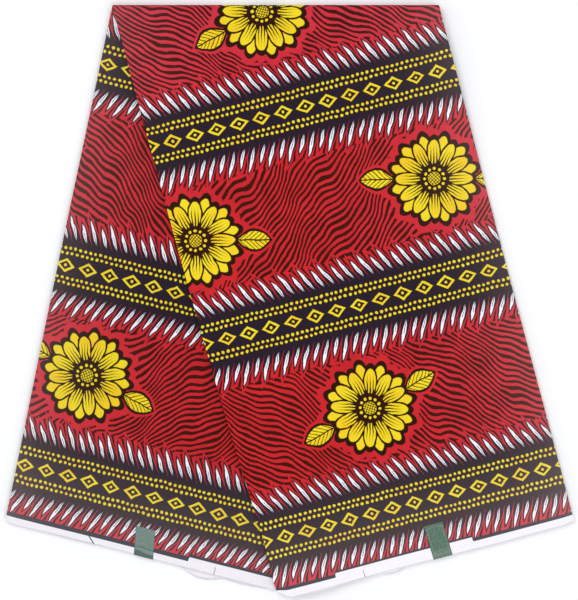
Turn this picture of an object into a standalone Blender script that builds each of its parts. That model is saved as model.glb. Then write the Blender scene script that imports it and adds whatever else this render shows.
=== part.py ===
"""Length of printed cotton, pleated into a long strip, folded once over its middle and laid flat.

The front half leans to the right on top of the back half, which leans to the left.
X runs to the right seen from above, Y towards the top fold, Z up from the surface below.
"""

import math

import bmesh
import bpy
from mathutils import Vector

# The strip in plan, in metres and degrees. A lean is the edge's angle from straight down.
FOLD_LENGTH = 0.342
FRONT_LEFT_EDGE = {"length": 0.647, "lean": 15.95}
FRONT_RIGHT_EDGE = {"length": 0.560, "lean": 14.75}
BACK_LEFT_EDGE = {"length": 0.5545, "lean": -11.75}
BACK_RIGHT_EDGE = {"length": 0.638, "lean": -13.05}
CORNER_CUTS = {"front": (0.0035, 0.0015), "back": (0.0008, 0.0015)}
EDGE_WAVE = 0.0006
FRONT_LEFT_BOW = 0.005
CORNER_TUCK = 0.0035
TUCK_AT = 0.97
TUCK_RUN = 0.04

# The stack of plies in one half, in metres.
HALF_THICKNESS = 0.007
PLY = 0.001
GAP = 0.0003
FOLD_RADIUS = HALF_THICKNESS + GAP / 2
END_THINNING = 0.08
SWELL = 0.03
SWELL_PITCH = 0.19
SWELL_FADE = 0.12

# Where the front half steps down past the back half's hidden edge.
STEP_START = 0.020
STEP_RUN = 0.070

# The hidden layers' pleats, which show at the long edges and at the selvages.
PLEATS = 4
PLEAT_ROUND = 0.0005
PLEAT_GROOVE = -0.0004
PLEAT_DRIFT = 0.0008
PLY_ROUND = 0.0004
LAYER_RECESS = -0.0016
LOWER_PLY_RECESS = -0.0010

# Selvages of hidden plies that look out past the ply on top: how far, and where along the selvage.
PEEKS = (
    {"half": "back", "pleat": 3, "reach": 0.0082, "at": 0.665, "spread": 0.12},
    {"half": "back", "pleat": 2, "reach": 0.0032, "at": 0.80, "spread": 0.17},
    {"half": "back", "pleat": 1, "reach": 0.0016, "at": 0.24, "spread": 0.18},
    {"half": "front", "pleat": 0, "reach": 0.0014, "at": 0.20, "spread": 0.16},
    {"half": "front", "pleat": 1, "reach": 0.0034, "at": 0.375, "spread": 0.08},
    {"half": "front", "pleat": 2, "reach": 0.0012, "at": 0.64, "spread": 0.14},
)

# Labels: small pieces stuck over the selvage. The lean is that of their sides.
LABELS = (
    {"name": "label_back", "half": "back", "at": 0.469, "width": 0.020, "length": 0.030, "lean": 4.2},
    {"name": "label_front", "half": "front", "at": 0.5505, "width": 0.0205, "length": 0.036, "lean": -16.6},
)
LABEL_THICKNESS = 0.0005
LABEL_COLUMNS = 4
LABEL_ROWS = 6

# Grid of the cloth: shares across the strip, and shares down each half, closer near the edges.
COLUMNS = 14
ROWS = 18
FOLD_STEPS = 8
EDGE_CELL = 0.02
END_CELL = 0.018

# Colours in linear light.
GROUND_RED = (0.46, 0.026, 0.030)
LAYER_RED = (0.34, 0.030, 0.034)
LABEL_GREEN = (0.100, 0.235, 0.165)


def smooth(share):
    """Rises softly from 0 to 1 as the share goes from 0 to 1."""
    share = min(max(share, 0.0), 1.0)
    return share * share * (3 - 2 * share)


def run_of(edge):
    """How far a long edge goes to the right and down."""
    lean = math.radians(edge["lean"])
    return Vector((edge["length"] * math.sin(lean), edge["length"] * math.cos(lean)))


FOLD_Y = run_of(FRONT_LEFT_EDGE).y / 2
FOLD_LEFT = -(FOLD_LENGTH + run_of(FRONT_RIGHT_EDGE).x + run_of(BACK_LEFT_EDGE).x) / 2


def selvage_corner(edge, x_at_fold):
    """Where a long edge meets the selvage."""
    run = run_of(edge)
    return Vector((x_at_fold + run.x, FOLD_Y - run.y))


HALVES = {
    "front": {
        "left": selvage_corner(FRONT_LEFT_EDGE, FOLD_LEFT),
        "right": selvage_corner(FRONT_RIGHT_EDGE, FOLD_LEFT + FOLD_LENGTH),
        "length": FRONT_LEFT_EDGE["length"],
        "bow": FRONT_LEFT_BOW,
        "tuck": CORNER_TUCK,
        "phase": 0.4,
    },
    "back": {
        "left": selvage_corner(BACK_LEFT_EDGE, FOLD_LEFT),
        "right": selvage_corner(BACK_RIGHT_EDGE, FOLD_LEFT + FOLD_LENGTH),
        "length": BACK_RIGHT_EDGE["length"],
        "bow": 0.0,
        "tuck": 0.0,
        "phase": 2.1,
    },
}


def plan(part, across, down):
    """The place seen from above at a share across the strip and a share down one half."""
    half = HALVES[part]
    fold = Vector((FOLD_LEFT + across * FOLD_LENGTH, FOLD_Y))
    selvage = half["left"].lerp(half["right"], across)
    in_fold = FOLD_RADIUS / (fold.y - selvage.y)
    place = fold.lerp(selvage, in_fold + (1 - in_fold) * down)
    middle = max(math.sin(math.pi * down), 0.0)
    wave = EDGE_WAVE * middle * math.sin(5 * down + half["phase"] + 2 * across)
    bow = half["bow"] * (1 - across) ** 2 * middle
    tuck = half["tuck"] * (1 - across) ** 4 * math.exp(-(((down - TUCK_AT) / TUCK_RUN) ** 2))
    return place.x + wave - bow - tuck, place.y


def stack(x, y):
    """Thickness of one half's plies: a little less towards the selvage, and never quite even."""
    below = FOLD_Y - y
    thin = END_THINNING * (below / (2 * FOLD_Y)) ** 2
    swell = math.sin(x / SWELL_PITCH * 3 + y / SWELL_PITCH * 2) * math.cos(y / SWELL_PITCH * 4 - x / SWELL_PITCH)
    return HALF_THICKNESS * (1 - thin + SWELL * swell * smooth(below / SWELL_FADE - 0.1))


def seat(x, y):
    """Height of what the front half lies on: the back half, then down to the surface beside it."""
    edge = (HALVES["back"]["right"] - Vector((FOLD_LEFT + FOLD_LENGTH, FOLD_Y))).normalized()
    past = (x - FOLD_LEFT - FOLD_LENGTH) * -edge.y + (y - FOLD_Y) * edge.x
    return (stack(x, y) + GAP) * (1 - smooth((past - STEP_START) / STEP_RUN))


def cloth_point(station, across, depth):
    """A point of the folded stack: depth is counted inwards from its outermost face."""
    part, value = station
    if part == "fold":
        # The strip crosses the fold at a slant, so its edges shift a little as they go round.
        radius = FOLD_RADIUS - depth
        x_before, y_before = plan("front", across, 0.0)
        x_after, _ = plan("back", across, 0.0)
        x = x_before + (x_after - x_before) * value / math.pi
        return x, y_before + radius * math.sin(value), FOLD_RADIUS + radius * math.cos(value)
    x, y = plan(part, across, value)
    share = depth / HALF_THICKNESS
    if part == "back":
        return x, y, share * stack(x, y)
    return x, y, seat(x, y) + (1 - share) * stack(x, y)


def shares(cells, end_cell):
    """Shares from 0 to 1 in even cells between two narrower ones."""
    inner = (1 - 2 * end_cell) / (cells - 2)
    return [0.0] + [end_cell + inner * n for n in range(cells - 1)] + [1.0]


ACROSS = shares(COLUMNS, EDGE_CELL)
DOWN = [0.0] + shares(ROWS, END_CELL)[2:]
STATIONS = (
    [("front", down) for down in reversed(DOWN)]
    + [("fold", math.pi * n / FOLD_STEPS) for n in range(1, FOLD_STEPS)]
    + [("back", down) for down in DOWN]
)


def slab(name, size, place, colour, roughness):
    """A closed slab: a skin of triangles round a grid of the given size, each point given by place."""
    mesh = bmesh.new()
    corners = {}

    def corner(index):
        if index not in corners:
            corners[index] = mesh.verts.new(place(*index))
        return corners[index]

    for axis in range(3):
        first, second = [n for n in range(3) if n != axis]
        for side in (0, size[axis]):
            for m in range(size[first]):
                for n in range(size[second]):
                    quad = []
                    for step_m, step_n in ((0, 0), (1, 0), (1, 1), (0, 1)):
                        index = [side, side, side]
                        index[first] = m + step_m
                        index[second] = n + step_n
                        quad.append(corner(tuple(index)))
                    mesh.faces.new(quad[:3])
                    mesh.faces.new((quad[0], quad[2], quad[3]))
    bmesh.ops.recalc_face_normals(mesh, faces=mesh.faces)
    data = bpy.data.meshes.new(name)
    mesh.to_mesh(data)
    mesh.free()
    data.materials.append(finish(name, colour, roughness))
    data.shade_smooth()
    data.set_sharp_from_angle(angle=math.radians(40))
    made = bpy.data.objects.new(name, data)
    bpy.context.scene.collection.objects.link(made)
    return made


def finish(name, colour, roughness):
    """Principled material of one colour."""
    material = bpy.data.materials.new(name)
    material.use_nodes = True
    shader = material.node_tree.nodes["Principled BSDF"]
    shader.inputs["Base Color"].default_value = (*colour, 1)
    shader.inputs["Roughness"].default_value = roughness
    shader.inputs["Metallic"].default_value = 0.0
    return material


def peek(part, pleat, across):
    """How far one pleat's selvage reaches past the ply on top, at a share across."""
    reach = LAYER_RECESS
    for row in PEEKS:
        if row["half"] == part and row["pleat"] == pleat:
            bump = smooth(1 - abs(across - row["at"]) / row["spread"])
            reach = max(reach, LAYER_RECESS + (row["reach"] - LAYER_RECESS) * bump)
    return reach


def at_rim(station_number, column, side_bulge, end_bulge):
    """The station and the share across of a grid point, moved out where it lies on an edge."""
    part, value = STATIONS[station_number]
    across = ACROSS[column]
    at_side = column in (0, COLUMNS)
    at_end = station_number in (0, len(STATIONS) - 1)
    cut = CORNER_CUTS[part][column > 0] if at_side and at_end else 0.0
    if at_side:
        outwards = -1 if column == 0 else 1
        across += outwards * (side_bulge - cut) / FOLD_LENGTH
    if at_end:
        value += (end_bulge - cut) / HALVES[part]["length"]
    return (part, value), across


def build_ply(name, outer_depth, short_end):
    """One ply that shows: a thin wall along the whole strip. At the half named short_end it lies below."""
    depths = [outer_depth + PLY * n / 2 for n in range(3)]

    def place(station_number, column, layer):
        bulge = PLY_ROUND if layer == 1 else 0.0
        below = STATIONS[station_number][0] == short_end
        end = bulge + (LOWER_PLY_RECESS if below else 0.0)
        station, across = at_rim(station_number, column, bulge, end)
        return cloth_point(station, across, depths[layer])

    return slab(name, (len(STATIONS) - 1, COLUMNS, 2), place, GROUND_RED, 0.62)


def build_hidden_layers():
    """All the plies between the two that show, as one solid with a rounded ridge for each pleat."""
    outer = PLY + GAP
    rows = 2 * PLEATS
    pitch = (HALF_THICKNESS - 2 * outer) / rows

    def place(station_number, column, row):
        part, value = STATIONS[station_number]
        pleat = min(row // 2, PLEATS - 1)
        round_out = PLEAT_ROUND if row % 2 else PLEAT_GROOVE
        drift = PLEAT_DRIFT * math.sin(0.31 * station_number + 2.4 * pleat + column)
        side = round_out + (drift if row % 2 else 0.0)
        # Depth counts from the outer ply, so the front half's pleats come from the top and the back's from below.
        end = round_out
        if part != "fold":
            end += peek(part, pleat, ACROSS[column]) if row % 2 else LAYER_RECESS
        station, across = at_rim(station_number, column, side, end)
        return cloth_point(station, across, outer + pitch * row)

    return slab("hidden_layers", (len(STATIONS) - 1, COLUMNS, rows), place, LAYER_RED, 0.7)


def build_label(row):
    """A thin label lying on the cloth from the selvage inwards, with its lower edge turned over the selvage."""
    lean = math.radians(row["lean"])
    inwards = Vector((math.sin(lean), math.cos(lean)))
    half = HALVES[row["half"]]
    width_share = row["width"] / (half["right"] - half["left"]).length
    clear = PLY_ROUND + GAP
    # From the inner end to the selvage, then down over it: distance in from the selvage, and drop.
    path = [(row["length"] * (1 - n / LABEL_ROWS), 0.0, 0.0) for n in range(LABEL_ROWS)]
    path += [(0.0, 0.0, 0.0), (-clear * 0.75, clear * 0.35, 0.6), (-clear, PLY + GAP, 1.0)]

    def place(station, column, layer):
        inset, drop, turned = path[station]
        across = row["at"] + width_share * (column / LABEL_COLUMNS - 0.5)
        x, y = plan(row["half"], across, 1.0)
        rise = GAP + layer * LABEL_THICKNESS * (1 - 0.5 * turned)
        inset -= layer * LABEL_THICKNESS * turned
        x += inwards.x * inset
        y += inwards.y * inset
        top = stack(x, y) + (seat(x, y) if row["half"] == "front" else 0.0)
        if turned == 1.0:
            rise = GAP
        return x, y, top + rise - drop

    size = (len(path) - 1, LABEL_COLUMNS, 1)
    return slab(row["name"], size, place, LABEL_GREEN, 0.5)


def main():
    for old in list(bpy.data.objects):
        bpy.data.objects.remove(old)
    build_ply("front_panel", 0.0, "back")
    build_ply("back_panel", HALF_THICKNESS - PLY, "front")
    build_hidden_layers()
    for row in LABELS:
        build_label(row)


main()
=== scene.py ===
"""Looks of a length of wax-printed cotton, pleated into a strip and folded once over its middle.

Every piece of cloth is a thin closed shell. A row of it is a line drawn through the pile of plies,
first across the strip and then on round the pleats, and the rows follow each other from the front
selvage, round the top fold, to the back selvage.
"""

import math

import bpy
import numpy as np
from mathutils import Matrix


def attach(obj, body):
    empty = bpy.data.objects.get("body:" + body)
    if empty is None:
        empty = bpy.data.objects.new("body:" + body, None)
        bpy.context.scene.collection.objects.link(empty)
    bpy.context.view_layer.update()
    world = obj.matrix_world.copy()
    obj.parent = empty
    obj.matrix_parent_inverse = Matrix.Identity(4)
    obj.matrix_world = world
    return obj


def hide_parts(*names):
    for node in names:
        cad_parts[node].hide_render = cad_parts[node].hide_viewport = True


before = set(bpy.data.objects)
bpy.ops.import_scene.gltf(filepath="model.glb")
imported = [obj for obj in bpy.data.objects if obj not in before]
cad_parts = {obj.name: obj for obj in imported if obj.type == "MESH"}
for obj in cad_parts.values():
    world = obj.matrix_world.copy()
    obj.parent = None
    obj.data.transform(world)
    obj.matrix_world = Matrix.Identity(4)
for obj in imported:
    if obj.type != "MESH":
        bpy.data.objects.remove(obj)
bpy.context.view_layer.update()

# The strip in plan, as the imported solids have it, in metres and degrees: first the left long edge of each
# half, then the right one. The front half's plies have slipped a little further down than the solids go.
# Its left edge is bowed, and tucked in near the corner.
FOLD_LENGTH = 0.342
HALVES = {
    "front": {
        "lengths": (0.647, 0.560), "leans": (15.95, 14.75), "slip": 0.0022,
        "bow": 0.005, "tuck": 0.0035, "phase": 0.4,
    },
    "back": {
        "lengths": (0.5545, 0.638), "leans": (-11.75, -13.05), "slip": 0.0,
        "bow": 0.0, "tuck": 0.0, "phase": 2.1,
    },
}
EDGE_WAVE = 0.0006
TUCK_AT = 0.97
TUCK_RUN = 0.04

# The pile of plies in one half, and where the front half comes down beside the back one, in metres.
HALF_THICKNESS = 0.007
GAP = 0.0003
FOLD_RADIUS = HALF_THICKNESS + GAP / 2
END_THINNING = 0.08
SWELL = 0.03
SWELL_PITCH = 0.19
SWELL_FADE = 0.12
PRESS_FADE = 0.03
STEP_START = 0.020
STEP_RUN = 0.070

# The cloth itself: the cut, and where its plies lie in the pile. Depth counts inwards from the outer face.
CLOTH_WIDTH = 1.20
STRIP_WIDTH = 0.331
PLIES = 17
CLOTH = 0.00028
TURN_IN = 0.009
OUTER_DEPTH = 0.00014
TURNED_DEPTH = 0.00044
FIRST_INNER_DEPTH = 0.00074
INNER_DEPTHS = np.linspace(FIRST_INNER_DEPTH, HALF_THICKNESS - FIRST_INNER_DEPTH, PLIES - 2)
INNER_ROOM = 0.0004
INNER_ROOM_RUN = 0.030

# How finely the plies are divided down each half, round the fold and across the strip.
FRONT_ROWS = 120
BACK_ROWS = 110
OUTER_FOLD_ROWS = 18
INNER_FOLD_ROWS = 6
SHOWN_CELLS = 84
UNDERSIDE_CELLS = 24
END_CELLS = 6
TURN_CELLS = 6
TURN_IN_CELLS = 3

# The same for the hidden plies. Those that look out have more cells.
PLEAT_ROWS = 52
PLEAT_FOLD_ROWS = 10
PLEAT_CELLS = 14
PEEKING_CELLS = 30
PLEAT_END_CELLS = 3
PLEAT_TURN_CELLS = 5

# How evenly the plies lie: slow waves along the edges, corners that are rounded off, and a pile that is a
# little lower right at its edges.
PLEAT_DRIFT = 0.0011
SELVAGE_DRIFT = 0.0012
TOP_SELVAGE_DRIFT = 0.0004
SELVAGE_RECESS = 0.0016
CORNER_ROUNDS = {"front": (0.0075, 0.0015), "back": (0.0006, 0.0010)}
CORNER_RUN = 0.0125
SELVAGE_GIVE = 0.016
SHOULDER = 0.0010
SHOULDER_RUN = 0.011

# Selvages of hidden plies that look out past the ply on top, by half and number of the ply: how far, and
# where along the selvage.
PEEKS = {
    ("back", 7): {"reach": 0.0082, "at": 0.665, "spread": 0.105},
    ("back", 5): {"reach": 0.0032, "at": 0.80, "spread": 0.17},
    ("back", 3): {"reach": 0.0016, "at": 0.24, "spread": 0.18},
    ("front", 2): {"reach": 0.0020, "at": 0.13, "spread": 0.22},
    ("front", 5): {"reach": 0.0034, "at": 0.375, "spread": 0.060},
    ("front", 9): {"reach": 0.0012, "at": 0.64, "spread": 0.14},
}

# Soft creases that press the whole pile in (or lift it, where the depth is negative). Ends are given as
# shares across the strip and down the half. Each fades out over a part of its length, and bends a little.
CREASE_FADE = 0.35
CREASE_BEND = 0.006
CREASES = {
    "front": (
        {"start": (0.02, 0.05), "end": (0.34, 0.42), "width": 0.016, "depth": 0.0005},
        {"start": (0.10, 0.03), "end": (0.62, 0.30), "width": 0.022, "depth": -0.0004},
        {"start": (0.97, 0.12), "end": (0.70, 0.36), "width": 0.014, "depth": 0.0004},
        {"start": (0.05, 0.55), "end": (0.40, 0.66), "width": 0.020, "depth": -0.0004},
        {"start": (0.30, 0.93), "end": (0.52, 0.74), "width": 0.015, "depth": 0.0004},
        {"start": (0.66, 0.97), "end": (0.90, 0.70), "width": 0.018, "depth": -0.0004},
        {"start": (0.86, 0.58), "end": (0.99, 0.86), "width": 0.012, "depth": 0.0004},
    ),
    "back": (
        {"start": (0.05, 0.20), "end": (0.30, 0.62), "width": 0.018, "depth": 0.0004},
        {"start": (0.03, 0.70), "end": (0.42, 0.86), "width": 0.016, "depth": -0.0004},
        {"start": (0.50, 0.96), "end": (0.60, 0.80), "width": 0.012, "depth": 0.0004},
        {"start": (0.12, 0.97), "end": (0.26, 0.80), "width": 0.014, "depth": 0.0003},
    ),
}

# Labels stuck over the selvage. The lean is that of their sides, in degrees, and the last two numbers say
# how strongly the painted shade of the creased end and the pressed frame show.
LABELS = (
    {"name": "label_back", "half": "back", "at": 0.4675, "width": 0.0208, "length": 0.030, "lean": 4.2,
     "pale": "#778B84", "deep": "#6A8077", "crease_shade": 0.55, "frame": 0.04},
    {"name": "label_front", "half": "front", "at": 0.5505, "width": 0.0205, "length": 0.036, "lean": -16.6,
     "pale": "#64806F", "deep": "#4B6A59", "crease_shade": 0.0, "frame": 0.11},
)
LABEL_FILM = 0.00022
LABEL_LIFT = 0.00012
LABEL_CRINKLE = 0.00012
LABEL_ROWS = 25
LABEL_COLUMNS = 13

# A label's turned edge, row by row: how far past the selvage and how far down.
LABEL_TURN = ((0.0003, 0.00008), (0.0005, 0.0003), (0.0006, 0.0007), (0.0006, 0.0012))

# How far in from the outer edges a painted sheen reaches.
SHEEN_RUN = 0.035

# Where the outer side, the inner side and the rims of a shell lie in the even map, from below upwards.
OUTER_STRIP = (0.003, 0.920)
INNER_STRIP = (0.935, 0.985)
RIM_STRIP = (0.990, 0.997)
MAP_MARGIN = 0.003

# The floor, and the lights of the soft room: powers are in watts.
FLOOR_SIZE = 8.0
FLOOR_DROP = 0.0002
ROOM_LIGHT = 0.61
LIGHTS = (
    {"name": "key_light", "place": (-0.9, 1.1, 3.0), "size": 1.8, "power": 37.0},
    {"name": "fill_light", "place": (0.9, -1.1, 3.0), "size": 2.4, "power": 31.0},
)

# The camera stands straight above, as far as its long lens needs for the photograph's scale at the height
# of the cloth's upper plies.
METRES_PER_PIXEL = 0.00105
PICTURE_HEIGHT_PIXELS = 600
VIEW_CENTRE = (-0.0005, 0.0010)
LENS_MM = 200.0
SENSOR_MM = 36.0
UPPER_HEIGHT = 0.010


def smooth(share):
    """Rises softly from 0 to 1 as the share goes from 0 to 1."""
    share = np.clip(share, 0.0, 1.0)
    return share * share * (3 - 2 * share)


def run_of(part, side, slip=0.0):
    """How far a long edge goes to the right and down, once its plies have slipped."""
    lean = math.radians(HALVES[part]["leans"][side])
    return (HALVES[part]["lengths"][side] + slip) * np.array((math.sin(lean), math.cos(lean)))


FOLD_Y = run_of("front", 0)[1] / 2
FOLD_LEFT = -(FOLD_LENGTH + run_of("front", 1)[0] + run_of("back", 0)[0]) / 2
FOLD_ENDS = np.array(((FOLD_LEFT, FOLD_Y), (FOLD_LEFT + FOLD_LENGTH, FOLD_Y)))
CORNERS = {
    part: [FOLD_ENDS[side] + (1, -1) * run_of(part, side, half["slip"]) for side in (0, 1)]
    for part, half in HALVES.items()
}


def length_at(part, across):
    """How long a ply of one half is, from the top of the fold to the selvage."""
    left, right = HALVES[part]["lengths"]
    return left + across * (right - left)


def plan(part, across, down):
    """Places seen from above at shares across the strip and shares down one half."""
    half = HALVES[part]
    fold_x = FOLD_LEFT + across * FOLD_LENGTH
    selvage_x, selvage_y = (left + across * (right - left) for left, right in zip(*CORNERS[part]))
    in_fold = FOLD_RADIUS / (FOLD_Y - selvage_y)
    share = in_fold + (1 - in_fold) * down
    middle = np.maximum(np.sin(math.pi * np.clip(down, 0, 1)), 0.0)
    wave = EDGE_WAVE * middle * np.sin(5 * down + half["phase"] + 2 * across)
    bow = half["bow"] * (1 - across) ** 2 * middle
    tuck = half["tuck"] * (1 - across) ** 4 * np.exp(-(((down - TUCK_AT) / TUCK_RUN) ** 2))
    x = fold_x + (selvage_x - fold_x) * share + wave - bow - tuck
    return x, FOLD_Y + (selvage_y - FOLD_Y) * share


def pressed(part, x, y):
    """How much the creases press one half's pile in."""
    total = np.zeros_like(x)
    for crease in CREASES[part]:
        start = np.array(plan(part, *crease["start"]))
        along = np.array(plan(part, *crease["end"])) - start
        length = np.hypot(*along)
        share = ((x - start[0]) * along[0] + (y - start[1]) * along[1]) / length**2
        aside = ((x - start[0]) * along[1] - (y - start[1]) * along[0]) / length
        aside = aside + CREASE_BEND * np.sin(share * 4.2 + start[0] * 40)
        fade = smooth(share / CREASE_FADE) * smooth((1 - share) / CREASE_FADE)
        total = total + crease["depth"] * fade * np.exp(-((aside / crease["width"]) ** 2))
    return total


def stack(part, x, y):
    """Thickness of one half's plies: a little less towards the selvage, and never quite even."""
    below = FOLD_Y - y
    thin = END_THINNING * (below / (2 * FOLD_Y)) ** 2
    u, v = x / SWELL_PITCH, y / SWELL_PITCH
    swell = np.sin(3 * u + 2 * v) * np.cos(4 * v - u)
    even = HALF_THICKNESS * (1 - thin + SWELL * swell * smooth(below / SWELL_FADE - 0.1))
    return even - pressed(part, x, y) * smooth(below / PRESS_FADE)


def right_of(part, side, x, y):
    """How far places lie to the right of a long edge."""
    edge = CORNERS[part][side] - FOLD_ENDS[side]
    edge = edge / np.hypot(*edge)
    return (y - FOLD_Y) * edge[0] - (x - FOLD_ENDS[side][0]) * edge[1]


def seat(x, y):
    """Height of what the front half lies on: the back half, then down to the surface beside it."""
    past = right_of("back", 1, x, y)
    return (stack("back", x, y) + GAP) * (1 - smooth((past - STEP_START) / STEP_RUN))


def shoulder(across, down):
    """The pile is a little lower right at its long edges and selvage, where the plies don't all reach."""
    side = np.minimum(across, 1 - across) * STRIP_WIDTH
    return SHOULDER * (1 - smooth(side / SHOULDER_RUN)) ** 2 * smooth(down / 0.06 + 0.2)


def cloth_points(station, across, depth):
    """Points of the folded pile on one row: depths are counted inwards from its outermost face."""
    part, value = station
    if part == "fold":
        radius = FOLD_RADIUS - depth
        x_before, y_before = plan("front", across, 0.0)
        x_after, _ = plan("back", across, 0.0)
        x = x_before + (x_after - x_before) * value / math.pi
        return np.stack((x, y_before + radius * math.sin(value), FOLD_RADIUS + radius * math.cos(value)), 1)
    x, y = plan(part, across, value)
    share = depth / HALF_THICKNESS
    height = stack(part, x, y) - shoulder(across, value)
    if part == "back":
        return np.stack((x, y, share * height), 1)
    return np.stack((x, y, seat(x, y) + (1 - share) * height), 1)


def selvage_reach(part, ply, across):
    """How far one ply's selvage reaches past the ply on top, along the selvage."""
    on_top = 0 if part == "front" else PLIES - 1
    rounded = np.zeros_like(across)
    for round_off, share in zip(CORNER_ROUNDS[part], (across, 1 - across)):
        rounded = rounded - round_off * (1 - smooth(share * STRIP_WIDTH / CORNER_RUN))
    if ply == on_top:
        return rounded + TOP_SELVAGE_DRIFT * np.sin(9 * across + 1.3)
    drift = SELVAGE_DRIFT * (np.sin(5.1 * across + 2.3 * ply) + 0.5 * np.sin(13 * across + 4.1 * ply))
    reach = np.minimum(drift - SELVAGE_RECESS, 0.0)
    if (part, ply) in PEEKS:
        row = PEEKS[part, ply]
        bump = smooth(1 - np.abs(across - row["at"]) / row["spread"])
        reach = reach + (row["reach"] - reach) * bump
    return rounded + reach


def drawn_in(value, reach, length):
    """Moves the rows near the selvage with it, while the cloth further up keeps its place."""
    give = np.maximum(SELVAGE_GIVE, 2.1 * np.abs(reach))
    near = np.maximum(1 - (1 - value) * length / give, 0.0)
    return value + reach / length * near**2


def close_shares(cells, close, growth=1.5):
    """Shares from 0 to 1, closer together towards both ends."""
    steps = np.ones(cells)
    for n in range(close):
        steps[close - 1 - n] = steps[close - n] / growth
        steps[cells - close + n] = steps[close - 1 - n]
    places = np.concatenate(([0.0], np.cumsum(steps)))
    return places / places[-1]


def half_stations(part, rows):
    """Rows down one half, from the fold to the selvage."""
    return [(part, value) for value in close_shares(rows, END_CELLS)]


def fold_stations(steps):
    """Rows round the top fold, without its first and last."""
    return [("fold", math.pi * n / steps) for n in range(1, steps)]


def turn(edge, depth, next_depth, steps, wave):
    """The half circle in which the cloth goes round from one ply to the next at a long edge."""
    radius = (next_depth - depth) / 2
    outwards = -1 if edge == 0 else 1
    line = []
    for n in range(steps):
        angle = math.pi * (n + 0.5) / steps
        out = abs(radius) * math.sin(angle) + wave
        line.append((edge * STRIP_WIDTH + outwards * out, depth + radius * (1 - math.cos(angle))))
    return line


def drift_of(ply, edge, way):
    """How far a pleat stands out at a long edge: slow waves along the strip, other ones for each pleat."""
    phase = 1.9 * ply + 3.1 * edge
    return PLEAT_DRIFT * (0.6 * math.sin(way * 9 + phase) + 0.4 * math.sin(way * 23 + 2.3 * phase) - 0.9)


def top_section(ply, depth, inner_depth, cells):
    """One visible ply with both its edges turned in: a line of distances across the strip and depths, in
    metres, and the number of the ply for each point."""
    turned = [TURN_IN * (1 - n / TURN_IN_CELLS) for n in range(TURN_IN_CELLS)]
    line = [(inset, inner_depth) for inset in turned]
    line += turn(0, inner_depth, depth, TURN_CELLS, 0.0)
    line += [(share * STRIP_WIDTH, depth) for share in close_shares(cells, END_CELLS)]
    line += turn(1, depth, inner_depth, TURN_CELLS, 0.0)
    line += [(STRIP_WIDTH - inset, inner_depth) for inset in reversed(turned)]
    return line, [ply] * len(line)


def closer(x, depth, way):
    """Away from the edges, where nothing of them shows, the hidden plies lie a little closer together."""
    from_selvage = min(way, 2 - way) * CLOTH_WIDTH / 2
    from_edge = min(x, STRIP_WIDTH - x)
    inside = smooth(from_selvage / INNER_ROOM_RUN) * smooth(from_edge / INNER_ROOM_RUN)
    middle = HALF_THICKNESS / 2
    return middle + (depth - middle) * (1 - inside * INNER_ROOM / middle)


def pleat_section(way):
    """The hidden plies as one line to and fro across the strip, with a half circle at each pleat, and the
    number of the ply for each point."""
    peeking = {ply for _, ply in PEEKS}
    line = []
    plies = []
    for ply, depth in enumerate(INNER_DEPTHS, 1):
        edge = ply % 2
        shares = close_shares(PEEKING_CELLS if ply in peeking else PLEAT_CELLS, PLEAT_END_CELLS)
        # Each run stops short of the edge by as much as the pleat beside it stands back.
        near = drift_of(ply, 0, way)
        far = drift_of(ply, 1, way)
        places = [-near + share * (STRIP_WIDTH + far + near) for share in (shares if edge else shares[::-1])]
        line += [(x, closer(x, depth, way)) for x in places]
        if ply < len(INNER_DEPTHS):
            line += turn(edge, depth, INNER_DEPTHS[ply], PLEAT_TURN_CELLS, far if edge else near)
        plies += [ply] * (len(line) - len(plies))
    return line, plies


def row_way(station):
    """How far along the strip a row lies, from 0 at the front selvage to 2 at the back one."""
    part, value = station
    return {"front": 1 - value, "fold": 1.0, "back": 1 + value}[part]


def cut_place(station, across, depth):
    """Distance from the cloth's front selvage, on the cut before it was folded."""
    part, value = station
    to_fold = length_at("front", across) - FOLD_RADIUS
    if part == "front":
        return (1 - value) * to_fold
    if part == "fold":
        return to_fold + (FOLD_RADIUS - depth) * value
    return CLOTH_WIDTH - (1 - value) * (length_at("back", across) - FOLD_RADIUS)


def lined_up(line):
    """The line's direction at each point, as unit vectors."""
    ahead = np.gradient(line, axis=0)
    return ahead / np.maximum(np.hypot(ahead[:, 0], ahead[:, 1])[:, None], 1e-9)


def glow_of(points):
    """From 0 well inside the folded shape to 1 at its outer edges, where the painted sheen is strongest."""
    x, y = points[:, 0], points[:, 1]
    inside = np.minimum(right_of("back", 0, x, y), -right_of("front", 1, x, y))
    return np.exp(-np.maximum(inside, 0) / SHEEN_RUN)


def build_cloth(name, stations, sections, first_u):
    """A closed shell of cloth: a row at each station, along the line of its section. The print starts at
    first_u along the cut."""
    outer, inner, plan_uv, glow = [], [], [], []
    for station, section in zip(stations, sections):
        line, plies = map(np.array, section)
        normal = lined_up(line)[:, ::-1] * (1, -1)
        lengths = np.hypot(*np.diff(line, axis=0).T)
        along = np.concatenate(([0.0], np.cumsum(lengths)))
        across = line[:, 0] / STRIP_WIDTH
        part, value = station
        moved = station
        if part != "fold":
            reach = np.zeros(len(line))
            for ply in set(plies):
                chosen = plies == ply
                reach[chosen] = selvage_reach(part, ply, np.clip(across[chosen], 0, 1))
            moved = (part, drawn_in(value, reach, length_at(part, across)))
        for side, rows in ((-0.5, outer), (0.5, inner)):
            shifted = line + normal * side * CLOTH
            rows.append(cloth_points(moved, shifted[:, 0] / STRIP_WIDTH, shifted[:, 1]))
        glow.append(glow_of(cloth_points(moved, across, line[:, 1])))
        plan_uv.append(np.stack((first_u + along, cut_place(station, across, line[:, 1])), 1))
    return mesh_of(name, np.array(outer), np.array(inner), np.array(plan_uv), np.array(glow))


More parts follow.
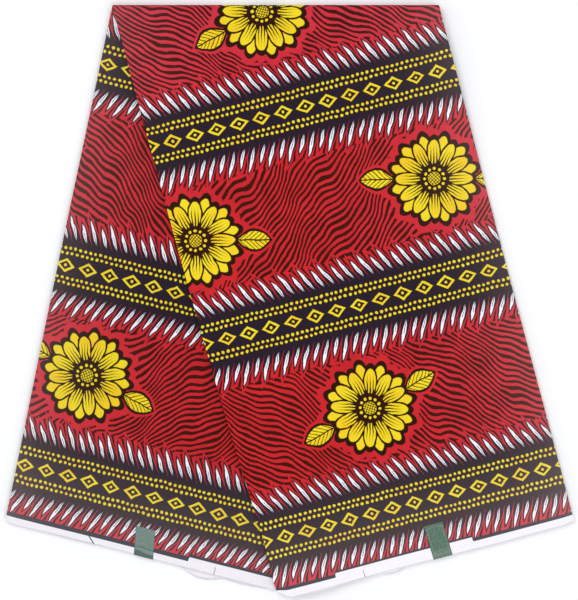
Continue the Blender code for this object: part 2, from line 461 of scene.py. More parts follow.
def mesh_of(name, outer, inner, plan_uv, glow):
    """Joins an outer and an inner grid of points at their rims. Gives the print's map and an even one."""
    rows, columns = outer.shape[:2]
    count = rows * columns
    grid = np.arange(count).reshape(rows, columns)
    quads = np.stack((grid[:-1, :-1], grid[:-1, 1:], grid[1:, 1:], grid[1:, :-1]), -1).reshape(-1, 4)
    rim = np.concatenate((grid[0, :], grid[1:, -1], grid[-1, -2::-1], grid[-2:0:-1, 0]))
    after = np.roll(rim, -1)
    sides = np.stack((rim, rim + count, after + count, after), 1)
    faces = np.concatenate((quads, quads[:, ::-1] + count, sides))
    points = np.concatenate((outer.reshape(-1, 3), inner.reshape(-1, 3)))

    mesh = bpy.data.meshes.new(name)
    mesh.from_pydata(points.tolist(), [], faces.tolist())
    corner = np.zeros(len(mesh.loops), np.int32)
    mesh.loops.foreach_get("vertex_index", corner)

    shares = np.stack(np.meshgrid(np.linspace(0, 1, columns), np.linspace(0, 1, rows)), 2)
    even = shares.reshape(-1, 2)[corner % count]
    is_outer = (corner < count)[:, None]
    low, high = np.where(is_outer, OUTER_STRIP, INNER_STRIP).T
    even[:, 1] = low + even[:, 1] * (high - low)
    number = np.arange(len(corner)) - 8 * len(quads)
    in_rim = number >= 0
    around = (number // 4 + (number % 4 > 1)) / len(sides)
    even[in_rim, 0] = around[in_rim]
    even[in_rim, 1] = np.where(is_outer[in_rim, 0], *RIM_STRIP)
    even[:, 0] = MAP_MARGIN + even[:, 0] * (1 - 2 * MAP_MARGIN)
    for layer_name, uv in (("cut", plan_uv.reshape(-1, 2)[corner % count]), ("OFBake", even)):
        layer = mesh.uv_layers.new(name=layer_name)
        layer.data.foreach_set("uv", uv.astype(np.float32).ravel())

    # How strong the painted sheen is at each point.
    painted_sheen = mesh.attributes.new("painted_sheen", "FLOAT", "POINT")
    painted_sheen.data.foreach_set("value", np.tile(glow.ravel(), 2).astype(np.float32))
    mesh.update()
    mesh.shade_smooth()
    made = bpy.data.objects.new(name, mesh)
    bpy.context.scene.collection.objects.link(made)
    return made


def linear(hex_colour):
    """An sRGB hex colour as linear red, green, blue and 1."""
    parts = [int(hex_colour[n : n + 2], 16) / 255 for n in (1, 3, 5)]
    return tuple(c / 12.92 if c <= 0.04045 else ((c + 0.055) / 1.055) ** 2.4 for c in parts) + (1.0,)


def add(tree, kind, *inputs, named=None, out=0, **settings):
    """Adds a node of a kind, with its operation after it where it has one, as in "Math ADD". Inputs in order,
    and named ones by number or name, are values or other nodes' outputs."""
    kind, *operation = kind.split()
    node = tree.nodes.new("ShaderNode" + kind)
    if operation:
        node.operation = operation[0]
    for setting, value in settings.items():
        setattr(node, setting, value)
    for socket, value in [*enumerate(inputs), *(named or {}).items()]:
        if isinstance(value, bpy.types.NodeSocket):
            tree.links.new(value, node.inputs[socket])
        elif value is not None:
            node.inputs[socket].default_value = value
    return node.outputs[out]


def new_material(name, constant):
    """A material with a Principled shader, some of whose sockets are constant: with its tree and shader."""
    material = bpy.data.materials.new(name)
    material.use_nodes = True
    shader = material.node_tree.nodes["Principled BSDF"]
    for socket, value in constant.items():
        shader.inputs[socket].default_value = value
    return material, material.node_tree, shader


# Wax-print dyes and inks, as they look in even daylight.
RED_DYE = linear("#C92429")
RED_DEEP = linear("#B91F24")
# The red as it looks under a painted sheen, at the outer edges, the selvages and the fold.
RED_UNDER_SHEEN = linear("#CB3344")
BROWN_BLACK = linear("#2C1309")
RIPPLE_BROWN = linear("#40120B")
NAVY_BLACK = linear("#261C27")
SLATE_INK = linear("#2E3240")
YELLOW_DYE = linear("#EDD526")
YELLOW_WARM = linear("#EDC420")
BARE_COTTON = linear("#F2EFF4")
# Painted sheen: the warm white that the outer edges and the selvages are mixed towards.
PAINTED_SHEEN_TINT = linear("#FFE6DC")

# Printed cotton is matt, with a faint sheen from its finish.
COTTON = {
    "Roughness": 0.62,
    "IOR": 1.45,
    "Specular IOR Level": 0.05,
    "Sheen Weight": 0.02,
    "Sheen Roughness": 0.5,
}

# Painted light and shade: how bright the dyes are drawn on the face that the front half shows, and on the
# other one.
FRONT_HALF_LIGHT = 1.04
BACK_HALF_SHADE = 0.965

# A painted sheen lies along the outer edges and the selvages, and pales the red there and at the fold.
# Limits are distances from a selvage, in millimetres.
EDGE_SHEEN_STRENGTH = 0.048
SELVAGE_SHEEN_STRENGTH = 0.050
SELVAGE_LIMITS = (20.0, 130.0)
FOLD_LIMITS = (470.0, 600.0)
FOLD_SHEEN_ON_RED = 0.55
EDGE_SHEEN_ON_RED = 0.78

# All sizes of the weave and the print are in millimetres on the cut cloth.
FOLD_AT = CLOTH_WIDTH * 500
THREAD_PITCH = 1.4

# Bands lie across the strip: lozenges, each with a pip in it, between double rows of dots.
BAND_AT = 62.5
REPEAT = 215.0
BAND_HALF = 26.0
LOZENGE_PITCH = 24.0
LOZENGE_OUTSIDE = (10.0, 7.2)
LOZENGE_INSIDE = (6.4, 4.5)
PIP_RADIUS = 1.45
DOTS_AT = 15.6
DOT_ROW_HALF = 2.8
DOT_PITCH = 5.4
DOT_RADIUS = 1.55

# Blades stand aslant along both edges of a band, every second one taller. Strokes fill the gaps.
BLADE_PITCH = 10.8
BLADE_SLANT = 0.5
BLADE_HEIGHT = 19.0
BLADE_TALLER = 6.0
BLADE_WIDTH = 1.85
TOOTH_TALLER = 6.0
TOOTH_WIDTH = 5.3
STROKE_LENGTH = 27.5
STROKE_CLEARANCE = 1.2
VEIN_HALF = 0.35

# Flowers stand in the fields between the bands. Their parts are given before they are scaled.
MOTIF_REPEAT = 260.0
MOTIF_FIRST = 150.0
MOTIF_TILT = 0.24
FLOWER_SIZE = 0.9
PETALS = 12
FRONT_PETALS = {"turned": 0.0, "middle": 31.5, "long": 16.0, "wide": 7.6}
BEHIND_PETALS = {"turned": math.pi / PETALS, "middle": 37.0, "long": 16.0, "wide": 7.4}
DISC_RADIUS = 15.5
HEART_RADIUS = 7.6
SEED_AT = 11.6
SEED_RADIUS = 1.7
LEAF_AT = 68.0
LEAF_HALF = 20.0
LEAF_WIDTH = 11.5
LEAF_VEIN_PITCH = 5.2
PETAL_STROKE_PITCH = 3.4
HATCH_PITCH = 4.0
OUTLINE_EXTRA = 1.9

# Ripples cross the fields. They swing, wander slowly, and are pushed apart round the flowers.
RIPPLE_PITCH = 7.0
RIPPLE_SLANT = 0.8
RIPPLE_HALF_WIDTH = (1.42, 2.1)
RIPPLE_SWINGS = ({"length": 92, "reach": 6.5}, {"length": 29, "reach": 1.3})
RIPPLE_WANDER = 15.0
PUSH_RADIUS = 56.0
PUSH = 0.45
RIPPLES_OFF_BAND = 25.5
RIPPLES_OFF_FLOWER = 5.0

# The selvages: bare cotton with a dark line above it, which steps up and narrows over plain windows. The
# ticks' places are counted from the middle of a window.
FRONT_BARE = 7.5
BACK_BARE = 6.6
SELVAGE_LINE = 3.6
BACK_LINE_EXTRA = 1.1
WINDOW_RISE = 4.6
WINDOW_LINE_LESS = 1.4
WINDOW_HALF = 77.3
WINDOW_REPEAT = 520.0
FRONT_WINDOW_AT = 141.7
BACK_WINDOW_AT = 5576.3
TICK_AT = -47.0
SLANTED_TICK_AT = -181.7
TICK_LENGTH = 8.0
TICK_HALF = 0.3
SLANTED_TICK_HALF = 0.9


def joined(tree, shape, *others):
    """Several shapes as one. Each shape is a distance, which is below nought inside it."""
    for other in others:
        shape = add(tree, "Math MINIMUM", shape, other)
    return shape


def cut_out(tree, shape, hole, margin=0.0):
    """What is left of a shape when a hole is cut out of it, as much larger as the margin says."""
    outside = add(tree, "Math MULTIPLY_ADD", hole, -1.0, margin)
    return add(tree, "Math MAXIMUM", shape, outside)


def spot(tree, x, y, radius):
    """A round spot where x and y are nought."""
    place = add(tree, "CombineXYZ", x, y)
    away = add(tree, "VectorMath LENGTH", place, out=1)
    return add(tree, "Math SUBTRACT", away, radius)


def pointed(tree, along, aside, half_length, width):
    """A leaf's shape, with bent sides that meet in a point at each end."""
    share = add(tree, "Math DIVIDE", along, half_length)
    bend = add(tree, "Math MULTIPLY", share, share)
    side = add(tree, "Math MULTIPLY_ADD", bend, -width, width)
    return add(tree, "Math SUBTRACT", aside, side)


def blades(tree, across, from_band):
    """Slanting navy teeth along both edges of a band, each with a white leaf blade in it, and the dark
    strokes in the gaps between them."""
    slanted = add(tree, "Math MULTIPLY_ADD", from_band, BLADE_SLANT, across)
    x = add(tree, "Math WRAP", slanted, BLADE_PITCH / 2, -BLADE_PITCH / 2)
    aside = add(tree, "Math ABSOLUTE", x)
    number = add(tree, "Math SUBTRACT", slanted, x)
    number = add(tree, "Math DIVIDE", number, BLADE_PITCH)
    odd = add(tree, "Math PINGPONG", number, 1.0)
    height = add(tree, "Math MULTIPLY_ADD", odd, BLADE_TALLER, BLADE_HEIGHT)
    up = add(tree, "Math SUBTRACT", from_band, BAND_HALF - 1)
    tall = add(tree, "Math ADD", height, TOOTH_TALLER)
    tooth = pointed(tree, up, aside, tall, TOOTH_WIDTH)

    taper = add(tree, "MapRange", up, 0.0, STROKE_LENGTH, -0.2, 1.45)
    stroke = add(tree, "Math ADD", aside, taper)
    stroke = add(tree, "Math MULTIPLY_ADD", stroke, -1.0, BLADE_PITCH / 2)
    end = add(tree, "Math SUBTRACT", up, STROKE_LENGTH)
    stroke = add(tree, "Math MAXIMUM", stroke, end)
    stroke = cut_out(tree, stroke, tooth, STROKE_CLEARANCE)

    half = add(tree, "Math MULTIPLY", height, 0.5)
    from_middle = add(tree, "Math SUBTRACT", up, half)
    from_middle = add(tree, "Math SUBTRACT", from_middle, 2.0)
    blade = pointed(tree, from_middle, aside, half, BLADE_WIDTH)
    share = add(tree, "Math DIVIDE", from_middle, half)
    end = add(tree, "Math MULTIPLY_ADD", share, 9.0, -0.9)
    vein = add(tree, "Math SUBTRACT", aside, VEIN_HALF)
    vein = add(tree, "Math MAXIMUM", vein, end)
    body = add(tree, "Math SUBTRACT", from_band, BAND_HALF)
    return joined(tree, body, tooth), cut_out(tree, blade, vein), stroke


def beads(tree, across, from_band):
    """The yellow of a band: a chain of lozenges with two rows of dots on each side of it."""
    x = add(tree, "Math PINGPONG", across, LOZENGE_PITCH / 2)
    rings = []
    for length, height in (LOZENGE_OUTSIDE, LOZENGE_INSIDE):
        share = add(tree, "Math MULTIPLY_ADD", x, 1 / length, -1.0)
        share = add(tree, "Math MULTIPLY_ADD", from_band, 1 / height, share)
        slope = height * length / math.hypot(height, length)
        rings.append(add(tree, "Math MULTIPLY", share, slope))
    lozenge = cut_out(tree, *rings)
    pip = spot(tree, x, from_band, PIP_RADIUS)

    # The outer row of each pair is half a dot further on.
    outer = add(tree, "Math GREATER_THAN", from_band, DOTS_AT)
    x = add(tree, "Math MULTIPLY_ADD", outer, DOT_PITCH / 2, across)
    x = add(tree, "Math PINGPONG", x, DOT_PITCH / 2)
    y = add(tree, "Math SUBTRACT", from_band, DOTS_AT)
    y = add(tree, "Math ABSOLUTE", y)
    y = add(tree, "Math SUBTRACT", y, DOT_ROW_HALF)
    return joined(tree, lozenge, pip, spot(tree, x, y, DOT_RADIUS))


def petal_ring(tree, angle, radius, turned, middle, long, wide):
    """One ring of oval petals: their shape, and the place along and across each of them."""
    angle = add(tree, "Math ADD", angle, turned)
    angle = add(tree, "Math PINGPONG", angle, math.pi / PETALS)
    along, aside = (
        add(tree, "Math MULTIPLY", add(tree, "Math " + part, angle), radius) for part in ("COSINE", "SINE")
    )
    x = add(tree, "Math SUBTRACT", along, middle)
    x = add(tree, "Math DIVIDE", x, long)
    y = add(tree, "Math DIVIDE", aside, wide)
    oval = spot(tree, x, y, 1.0)
    return add(tree, "Math MULTIPLY", oval, wide), along, aside


def flower(tree, place):
    """A round flower between two leaves: its outline, and its yellow parts."""
    place = add(tree, "VectorMath SCALE", place, named={3: 1 / FLOWER_SIZE})
    split = add(tree, "SeparateXYZ", place)
    x, y = split, split.node.outputs[1]
    radius = add(tree, "VectorMath LENGTH", place, out=1)
    angle = add(tree, "Math ARCTAN2", y, x)
    front, along, aside = petal_ring(tree, angle, radius, **FRONT_PETALS)
    behind, _, _ = petal_ring(tree, angle, radius, **BEHIND_PETALS)

    # Dark strokes run out from the middle of each front petal and end before its tip.
    stroke = add(tree, "Math PINGPONG", aside, PETAL_STROKE_PITCH / 2)
    taper = add(tree, "MapRange", along, 16.0, 43.0, 1.15, -0.2)
    stroke = add(tree, "Math SUBTRACT", stroke, taper)
    petals = add(tree, "Math ADD", front, 0.9)
    petals = cut_out(tree, petals, stroke)
    more = add(tree, "Math ADD", behind, 0.9)
    petals = joined(tree, petals, cut_out(tree, more, front, 1.0))
    disc = add(tree, "Math SUBTRACT", radius, DISC_RADIUS)
    petals = cut_out(tree, petals, disc)

    # The heart is hatched both ways, in a ring of seeds.
    outwards = add(tree, "Math SUBTRACT", along, SEED_AT)
    seeds = spot(tree, outwards, aside, SEED_RADIUS)
    heart = add(tree, "Math SUBTRACT", radius, HEART_RADIUS)
    for way in ("ADD", "SUBTRACT"):
        hatch = add(tree, "Math " + way, x, y)
        hatch = add(tree, "Math PINGPONG", hatch, HATCH_PITCH / 2)
        heart = cut_out(tree, heart, hatch, 0.6)

    out = add(tree, "Math ABSOLUTE", x)
    out = add(tree, "Math SUBTRACT", out, LEAF_AT)
    rise = add(tree, "Math ABSOLUTE", y)
    leaf = pointed(tree, out, rise, LEAF_HALF, LEAF_WIDTH)
    veins = add(tree, "Math MULTIPLY_ADD", out, -0.9, rise)
    veins = add(tree, "Math PINGPONG", veins, LEAF_VEIN_PITCH / 2)
    leaves = add(tree, "Math ADD", leaf, 1.0)
    leaves = cut_out(tree, leaves, rise, 0.8)
    leaves = cut_out(tree, leaves, veins, 0.6)

    shapes = joined(tree, front, behind, disc, leaf), joined(tree, petals, heart, seeds, leaves)
    return [add(tree, "Math MULTIPLY", shape, FLOWER_SIZE) for shape in shapes]


def ripples(tree, slow, uneven, across, along, here, from_field, odd):
    """Ripples that cross a field aslant, the other way in every second one, and part round the flowers."""
    slant = add(tree, "Math MULTIPLY_ADD", odd, -2 * RIPPLE_SLANT, RIPPLE_SLANT)
    level = add(tree, "Math MULTIPLY_ADD", across, slant, from_field)
    for row in RIPPLE_SWINGS:
        swing = add(tree, "Math MULTIPLY_ADD", across, 2 * math.pi / row["length"], odd)
        swing = add(tree, "Math SINE", swing)
        level = add(tree, "Math MULTIPLY_ADD", swing, row["reach"], level)
    level = add(tree, "Math MULTIPLY_ADD", slow, RIPPLE_WANDER, level)
    aside = add(tree, "Math MULTIPLY_ADD", along, slant, from_field)
    apart = add(tree, "VectorMath SCALE", here, named={3: 1 / PUSH_RADIUS})
    apart = add(tree, "VectorMath DOT_PRODUCT", apart, apart, out=1)
    apart = add(tree, "Math POWER", math.exp(-1), apart)
    apart = add(tree, "Math MULTIPLY", apart, aside)
    level = add(tree, "Math MULTIPLY_ADD", apart, -PUSH, level)
    from_ripple = add(tree, "Math PINGPONG", level, RIPPLE_PITCH / 2)
    width = add(tree, "MapRange", uneven, 0.3, 0.7, *RIPPLE_HALF_WIDTH)
    return add(tree, "Math SUBTRACT", from_ripple, width)


def selvage(tree, across, down, from_selvage):
    """The bare cotton of a selvage, the line above it with what lies below, and two short ticks."""
    at_back = add(tree, "Math GREATER_THAN", down, FOLD_AT)
    mark = add(tree, "Math MULTIPLY_ADD", at_back, FRONT_WINDOW_AT - BACK_WINDOW_AT, across)
    mark = add(tree, "Math SUBTRACT", mark, FRONT_WINDOW_AT)
    mark = add(tree, "Math WRAP", mark, WINDOW_REPEAT / 2, -WINDOW_REPEAT / 2)
    window = add(tree, "Math ABSOLUTE", mark)
    window = add(tree, "MapRange", window, WINDOW_HALF - 0.5, WINDOW_HALF + 0.5, 1.0, 0.0)
    bare = add(tree, "Math MULTIPLY_ADD", at_back, BACK_BARE - FRONT_BARE, FRONT_BARE)
    bare = add(tree, "Math MULTIPLY_ADD", window, WINDOW_RISE, bare)
    bare = add(tree, "Math SUBTRACT", from_selvage, bare)
    line = add(tree, "Math MULTIPLY_ADD", window, -WINDOW_LINE_LESS, SELVAGE_LINE)
    line = add(tree, "Math MULTIPLY_ADD", at_back, BACK_LINE_EXTRA, line)
    line = add(tree, "Math SUBTRACT", bare, line)

    leaning = add(tree, "Math MULTIPLY_ADD", from_selvage, 1.0, mark)
    ticks = []
    for place, at, half in ((mark, TICK_AT, TICK_HALF), (leaning, SLANTED_TICK_AT, SLANTED_TICK_HALF)):
        tick = add(tree, "Math SUBTRACT", place, at)
        tick = add(tree, "Math ABSOLUTE", tick)
        ticks.append(add(tree, "Math SUBTRACT", tick, half))
    end = add(tree, "Math SUBTRACT", from_selvage, TICK_LENGTH)
    return bare, line, add(tree, "Math MAXIMUM", joined(tree, *ticks), end)


def inked(tree, under, shape, colour, blur=0.22):
    """Lays a colour over another one inside a shape, with a soft edge."""
    mask = add(tree, "MapRange", shape, -blur, blur, 1.0, 0.0)
    return add(tree, "Mix", named={0: mask, 6: under, 7: colour}, data_type="RGBA", out=2)


def wax_printed_cotton():
    """Plain-woven cotton, wax printed on both faces: flat matt dyes whose edges fray a little along the
    threads, a fine grain from the weave, and a faint sheen from the finish."""
    material, tree, shader = new_material("wax_printed_cotton", COTTON)
    cut = add(tree, "UVMap", uv_map="cut")
    place = add(tree, "VectorMath SCALE", cut, named={3: 1000.0})

    # The drawn outlines waver by about half a millimetre, and dye creeps a little way along the threads.
    drawn = place
    for scale, detail, reach in ((0.07, 2.0, 2.6), (0.9, 1.0, 0.55)):
        shake = {"Scale": scale, "Detail": detail}
        shake = add(tree, "TexNoise", place, named=shake, noise_dimensions="2D", out=1)
        shake = add(tree, "VectorMath SUBTRACT", shake, (0.5, 0.5, 0.5))
        shake = add(tree, "VectorMath SCALE", shake, named={3: reach})
        drawn = add(tree, "VectorMath ADD", drawn, shake)
    split = add(tree, "SeparateXYZ", drawn)
    across, down = split, split.node.outputs[1]
    from_selvage = add(tree, "SeparateXYZ", place, out=1)
    from_selvage = add(tree, "Math PINGPONG", from_selvage, FOLD_AT)

    from_band = add(tree, "Math SUBTRACT", down, BAND_AT)
    row = add(tree, "Math DIVIDE", from_band, REPEAT)
    row = add(tree, "Math FLOOR", row)
    odd = add(tree, "Math PINGPONG", row, 1.0)
    from_band = add(tree, "Math PINGPONG", from_band, REPEAT / 2)
    band, blade, stroke = blades(tree, across, from_band)
    bead = beads(tree, across, from_band)

    from_field = add(tree, "Math SUBTRACT", down, BAND_AT + REPEAT / 2)
    from_field = add(tree, "Math WRAP", from_field, REPEAT / 2, -REPEAT / 2)
    along = add(tree, "Math MULTIPLY_ADD", odd, -MOTIF_REPEAT / 2, across)
    along = add(tree, "Math SUBTRACT", along, MOTIF_FIRST)
    along = add(tree, "Math WRAP", along, MOTIF_REPEAT / 2, -MOTIF_REPEAT / 2)
    tilt = add(tree, "Math MULTIPLY_ADD", odd, 2 * MOTIF_TILT, -MOTIF_TILT)
    here = add(tree, "CombineXYZ", along, from_field)
    here = add(tree, "VectorRotate", here, named={3: tilt}, rotation_type="Z_AXIS")
    outline, yellow = flower(tree, here)

    # Noises that bend the ripples and vary their width, cloud the dyes and crumple the cloth.
    slow, uneven, cloudy, crumple = (
        add(tree, "TexNoise", place, named={"Scale": scale, "Detail": detail}, noise_dimensions="2D")
        for scale, detail in ((0.018, 1.0), (0.045, 2.0), (0.03, 3.0), (0.022, 3.0))
    )

    # The ripples stop short of the bands, the selvages and the flowers, and meet the strokes.
    ripple = ripples(tree, slow, uneven, across, along, here, from_field, odd)
    ripple = cut_out(tree, ripple, from_band, BAND_HALF + RIPPLES_OFF_BAND)
    ripple = cut_out(tree, ripple, from_selvage, BAND_AT)
    ripple = cut_out(tree, ripple, band, OUTLINE_EXTRA)
    ripple = cut_out(tree, joined(tree, ripple, stroke), outline, RIPPLES_OFF_FLOWER)
    outline = add(tree, "Math SUBTRACT", outline, OUTLINE_EXTRA)
    bare, line, tick = selvage(tree, across, down, from_selvage)

    # Both main dyes are a little cloudy, and the red is paled by a painted sheen at the outer edges, the
    # selvages and the fold.
    cloudy = add(tree, "MapRange", cloudy, 0.4, 0.75, 0.0, 1.0)
    red = add(tree, "Mix", cloudy, named={6: RED_DYE, 7: RED_DEEP}, data_type="RGBA", out=2)
    gold = add(tree, "Mix", cloudy, named={6: YELLOW_DYE, 7: YELLOW_WARM}, data_type="RGBA", out=2)
    painted_sheen = add(tree, "Attribute", attribute_name="painted_sheen", out=2)
    at_selvage, at_fold = (
        add(tree, "MapRange", from_selvage, *limits, interpolation_type="SMOOTHSTEP")
        for limits in ((*SELVAGE_LIMITS, 1.0, 0.0), (*FOLD_LIMITS, 0.0, FOLD_SHEEN_ON_RED))
    )
    red_sheen = add(tree, "Math POWER", painted_sheen, 0.4)
    red_sheen = add(tree, "Math MULTIPLY_ADD", red_sheen, EDGE_SHEEN_ON_RED, at_fold)
    red_sheen = add(tree, "Math ADD", red_sheen, at_selvage, use_clamp=True)
    red = add(tree, "Mix", red_sheen, named={6: red, 7: RED_UNDER_SHEEN}, data_type="RGBA", out=2)

    # Dyes laid one over another, the ground first.
    colour = inked(tree, red, ripple, RIPPLE_BROWN)
    colour = inked(tree, colour, outline, BROWN_BLACK, blur=0.12)
    for shape, ink in (
        (yellow, gold), (band, NAVY_BLACK), (bead, gold), (blade, BARE_COTTON),
        (line, SLATE_INK), (bare, BARE_COTTON), (tick, SLATE_INK),
    ):
        colour = inked(tree, colour, shape, ink)

    # A painted sheen lightens the outer edges and the selvages.
    selvage_sheen = add(tree, "Math MULTIPLY", at_selvage, SELVAGE_SHEEN_STRENGTH)
    painted_sheen = add(tree, "Math MULTIPLY_ADD", painted_sheen, EDGE_SHEEN_STRENGTH, selvage_sheen)
    colour = add(tree, "Mix", painted_sheen, named={6: colour, 7: PAINTED_SHEEN_TINT}, data_type="RGBA", out=2)

    # Threads lie 0.35 mm apart, which is too fine to show, so the weave is drawn at 1.4 mm. Thicker threads
    # run on for a few centimetres as faint streaks both ways, and each crossing catches the dye differently.
    thread = add(tree, "VectorMath SCALE", place, named={3: 2 * math.pi / THREAD_PITCH})
    split = add(tree, "SeparateXYZ", thread)
    warp, weft = (add(tree, "Math SINE", split.node.outputs[n]) for n in (0, 1))
    grain = add(tree, "Math MULTIPLY", warp, weft)
    streaks = []
    for stretch in ((1.0, 0.03, 1.0), (0.03, 1.0, 1.0)):
        streak = add(tree, "VectorMath MULTIPLY", place, stretch)
        streak = add(tree, "TexNoise", streak, named={"Scale": 0.7, "Detail": 1.0}, noise_dimensions="2D")
        streaks.append(streak)
    slub = add(tree, "Math ADD", *streaks)
    grain = add(tree, "Math MULTIPLY_ADD", slub, 2.4, grain)
    tone = add(tree, "MapRange", grain, 1.0, 3.8, 0.93, 1.07)
    # Painted light on the front half and painted shade on the back half, changing over the fold.
    painted_half_light = add(tree, "MapRange", down, FOLD_AT - 40, FOLD_AT + 60, FRONT_HALF_LIGHT, BACK_HALF_SHADE)
    tone = add(tree, "Math MULTIPLY", tone, painted_half_light)
    colour = add(tree, "VectorMath SCALE", colour, named={3: tone})
    tree.links.new(colour, shader.inputs["Base Color"])
    bump = add(tree, "Bump", named={"Strength": 0.6, "Distance": 0.00010, "Height": grain})
    bump = add(tree, "Bump", named={"Strength": 0.6, "Distance": 0.0011, "Height": crumple, "Normal": bump})
    tree.links.new(bump, shader.inputs["Normal"])
    return material


# What shows on the labels' paper. Places are in millimetres, counted up from the lower end.
PAPER = {"Roughness": 0.55, "Specular IOR Level": 0.15}
STAIN = linear("#9A8480")
PRESSED_FRAME = linear("#C2D2C4")
# Painted shade for a label's crease and its creased lower end.
PAPER_CREASE_SHADE = linear("#2F4E43")
FRAME_SHARE = 0.8
CREASE_AT = 6.8
CREASE_SHADE_START = 4.0
CREASE_SHADE_END = 1.2
CREASE_SHADE_SLANT = 0.11


def gummed_paper(row):
    """Thin green paper with gum on its back: matt and mottled where it took up gum, with painted shade where
    it is creased towards the selvage, and the printed cloth showing through as faint warm blotches."""
    material, tree, shader = new_material("gummed_paper_" + row["name"], PAPER)
    place = add(tree, "UVMap", uv_map="cut")
    place = add(tree, "VectorMath SCALE", place, named={3: 1000.0})
    split = add(tree, "SeparateXYZ", place)
    aside = add(tree, "Math ABSOLUTE", split)
    along = split.node.outputs[1]
    mottle, blotch, bent = (
        add(tree, "TexNoise", place, named={"Scale": scale, "Detail": detail}, noise_dimensions="2D")
        for scale, detail in ((0.55, 4.0), (0.31, 2.0), (0.13, 2.0))
    )
    mottle = add(tree, "MapRange", mottle, 0.35, 0.68, 0.0, 1.0)
    greens = {6: linear(row["deep"]), 7: linear(row["pale"])}
    colour = add(tree, "Mix", mottle, named=greens, data_type="RGBA", out=2)
    blotch = add(tree, "MapRange", blotch, 0.54, 0.70, 0.0, 0.28)
    colour = add(tree, "Mix", blotch, named={6: colour, 7: STAIN}, data_type="RGBA", out=2)

    # A faint frame is pressed into the paper.
    off = add(tree, "Math SUBTRACT", along, row["length"] * 500)
    off = add(tree, "Math ABSOLUTE", off)
    sides = [
        add(tree, "Math SUBTRACT", distance, size * 500 * FRAME_SHARE)
        for distance, size in ((aside, row["width"]), (off, row["length"]))
    ]
    frame_line = add(tree, "Math MAXIMUM", *sides)
    frame_line = add(tree, "Math ABSOLUTE", frame_line)
    frame_line = add(tree, "MapRange", frame_line, 0.2, 0.9, row["frame"], 0.0)
    colour = add(tree, "Mix", frame_line, named={6: colour, 7: PRESSED_FRAME}, data_type="RGBA", out=2)

    # Where the bare selvage lies under it the paper looks a little paler.
    end = row["length"] * 1000
    under = add(tree, "MapRange", along, end - BACK_BARE - 2.5, end - BACK_BARE - 1.0, 0.0, 0.05)
    colour = add(tree, "Mix", under, named={6: colour, 7: BARE_COTTON}, data_type="RGBA", out=2)

    # Painted shade lies along one soft crease that runs across a third of the way up, and below it on the
    # end, where the shade narrows to one side.
    bent = add(tree, "Math MULTIPLY_ADD", bent, 3.6, along)
    crease = add(tree, "Math SUBTRACT", bent, end - CREASE_AT)
    crease = add(tree, "Math ABSOLUTE", crease)
    wedge = add(tree, "Math MULTIPLY_ADD", split, -CREASE_SHADE_SLANT, bent)
    crease, wedge = (
        add(tree, "MapRange", place, *limits, interpolation_type="SMOOTHSTEP")
        for place, limits in (
            (crease, (0.1, 1.6, 0.6 * row["crease_shade"], 0.0)),
            (wedge, (end - CREASE_SHADE_START, end - CREASE_SHADE_END, 0.0, row["crease_shade"])),
        )
    )
    fold = add(tree, "Math MAXIMUM", crease, wedge)
    crease_shade = add(tree, "Math MULTIPLY_ADD", mottle, 0.5, 1.0)
    crease_shade = add(tree, "Math MULTIPLY", crease_shade, fold)
    colour = add(tree, "Mix", crease_shade, named={6: colour, 7: PAPER_CREASE_SHADE}, data_type="RGBA", out=2)
    tree.links.new(colour, shader.inputs["Base Color"])
    fold = add(tree, "Math MULTIPLY_ADD", fold, 2.0, mottle)
    bump = add(tree, "Bump", named={"Strength": 0.7, "Distance": 0.0003, "Height": fold})
    tree.links.new(bump, shader.inputs["Normal"])
    return material


def build_label(row):
    """A thin label on the cloth from the selvage inwards, with its lower edge turned over the selvage."""
    lean = math.radians(row["lean"])
    inwards = np.array(((math.sin(lean),), (math.cos(lean),)))
    left, right = CORNERS[row["half"]]
    width_share = row["width"] / np.hypot(*(right - left))
    past, below = np.array(LABEL_TURN).T
    insets = np.concatenate((np.linspace(row["length"], 0.0, LABEL_ROWS), -past))
    drops = np.concatenate((np.zeros(LABEL_ROWS), below))
    shares = np.linspace(-0.5, 0.5, LABEL_COLUMNS)
    foot = np.stack(plan(row["half"], row["at"] + width_share * shares, np.ones(LABEL_COLUMNS)))
    sides = []
    for height in (LABEL_FILM, 0.0):
        rows = []
        for inset, drop in zip(insets, drops):
            # The film's thickness stands up from the cloth, and below the selvage it stands out.
            up, out = (height, 0.0) if drop == 0 else (0.0, height)
            x, y = foot + inwards * (inset - out)
            top = stack(row["half"], x, y) + (seat(x, y) if row["half"] == "front" else 0.0)
            crinkle = LABEL_CRINKLE * np.sin(inset * 420 + 5 * shares) * np.sin(9 * shares + inset * 130)
            rows.append(np.stack((x, y, top + LABEL_LIFT + up + crinkle - drop), 1))
        sides.append(np.array(rows))
    plan_uv = np.stack(np.meshgrid(shares * row["width"], insets[0] - insets + drops), 2)
    return mesh_of(row["name"] + "_film", *sides, plan_uv, np.zeros(plan_uv.shape[:2]))


def dress(piece, material, node=None):
    """Gives a piece its material, puts it under the root body, and hides the solid it replaces."""
    piece.data.materials.append(material)
    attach(piece, "root")
    if node:
        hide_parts(node)


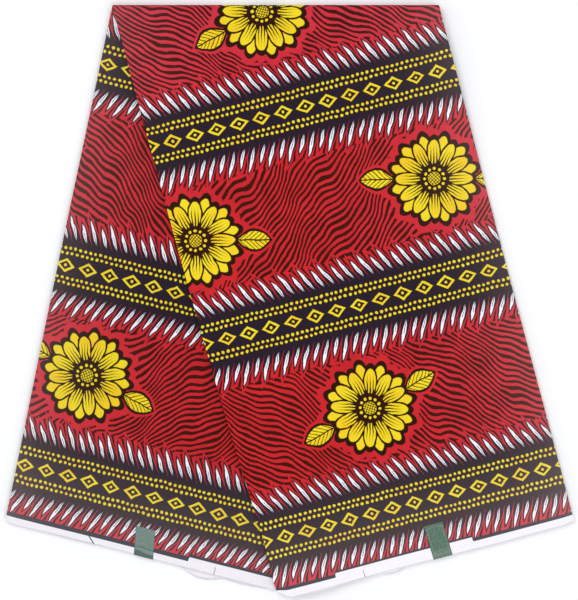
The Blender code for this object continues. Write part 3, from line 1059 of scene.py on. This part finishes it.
def build_all_cloth():
    """The two plies that show, what they are below, and the pleats between them."""
    cotton = wax_printed_cotton()
    outer = (OUTER_DEPTH, TURNED_DEPTH)
    inner = [HALF_THICKNESS - depth for depth in outer]
    front = half_stations("front", FRONT_ROWS)[::-1]
    back = half_stations("back", BACK_ROWS)
    front_round = front + fold_stations(OUTER_FOLD_ROWS) + back[:1]
    front_inside = front + fold_stations(INNER_FOLD_ROWS) + back[:1]
    turned = TURN_IN + math.pi * (TURNED_DEPTH - OUTER_DEPTH) / 2
    made = []
    for name, node, stations, ply, depths, cells in (
        ("front_cloth", "front_panel", front_round, 0, outer, SHOWN_CELLS),
        ("front_cloth_below", None, back, 0, outer, UNDERSIDE_CELLS),
        ("back_cloth", "back_panel", back, PLIES - 1, inner, SHOWN_CELLS),
        ("back_cloth_below", None, front_inside, PLIES - 1, inner, UNDERSIDE_CELLS),
    ):
        sections = [top_section(ply, *depths, cells)] * len(stations)
        piece = build_cloth(name, stations, sections, ply * STRIP_WIDTH - turned)
        dress(piece, cotton, node)
        made.append(piece)

    stations = half_stations("front", PLEAT_ROWS)[::-1] + fold_stations(PLEAT_FOLD_ROWS)
    stations += half_stations("back", PLEAT_ROWS)
    sections = [pleat_section(row_way(station)) for station in stations]
    pleats = build_cloth("pleated_plies", stations, sections, STRIP_WIDTH)
    dress(pleats, cotton, "hidden_layers")
    return made + [pleats]


def build_floor():
    """A pale, matt floor of paper, just below what the cloth lies on."""
    bpy.ops.mesh.primitive_plane_add(size=FLOOR_SIZE, location=(0, 0, -FLOOR_DROP))
    floor = bpy.context.object
    floor.name = "floor"
    matt = {"Roughness": 0.95, "Specular IOR Level": 0.1}
    material, tree, shader = new_material("matt_white_paper", matt)
    speck = add(tree, "TexNoise", named={"Scale": 30.0})
    tone = add(tree, "MapRange", speck, 0.0, 1.0, 0.94, 0.96)
    tree.links.new(add(tree, "CombineColor", tone, tone, tone), shader.inputs["Base Color"])
    floor.data.materials.append(material)


def build_lights():
    """Soft light from above and all round."""
    world = bpy.data.worlds.new("soft_room")
    bpy.context.scene.world = world
    world.use_nodes = True
    background = world.node_tree.nodes["Background"]
    background.inputs["Color"].default_value = linear("#F7F9FF")
    background.inputs["Strength"].default_value = ROOM_LIGHT
    for row in LIGHTS:
        data = bpy.data.lights.new(row["name"], "AREA")
        data.size = row["size"]
        data.energy = row["power"]
        light = bpy.data.objects.new(row["name"], data)
        light.location = row["place"]
        aim = np.array(row["place"]) / np.linalg.norm(row["place"])
        light.rotation_euler = (math.acos(aim[2]), 0, math.atan2(aim[0], -aim[1]))
        bpy.context.scene.collection.objects.link(light)


def build_camera():
    """The camera, straight above and looking down."""
    data = bpy.data.cameras.new("camera")
    data.lens = LENS_MM
    data.sensor_width = SENSOR_MM
    data.clip_end = 50
    camera = bpy.data.objects.new("camera", data)
    distance = METRES_PER_PIXEL * PICTURE_HEIGHT_PIXELS * LENS_MM / SENSOR_MM
    camera.location = (*VIEW_CENTRE, distance + UPPER_HEIGHT)
    bpy.context.scene.collection.objects.link(camera)
    bpy.context.scene.camera = camera
    bpy.context.scene.view_settings.view_transform = "Standard"


build_floor()
build_lights()
build_camera()
cloth = build_all_cloth()
for label_row in LABELS:
    dress(build_label(label_row), gummed_paper(label_row), label_row["name"])
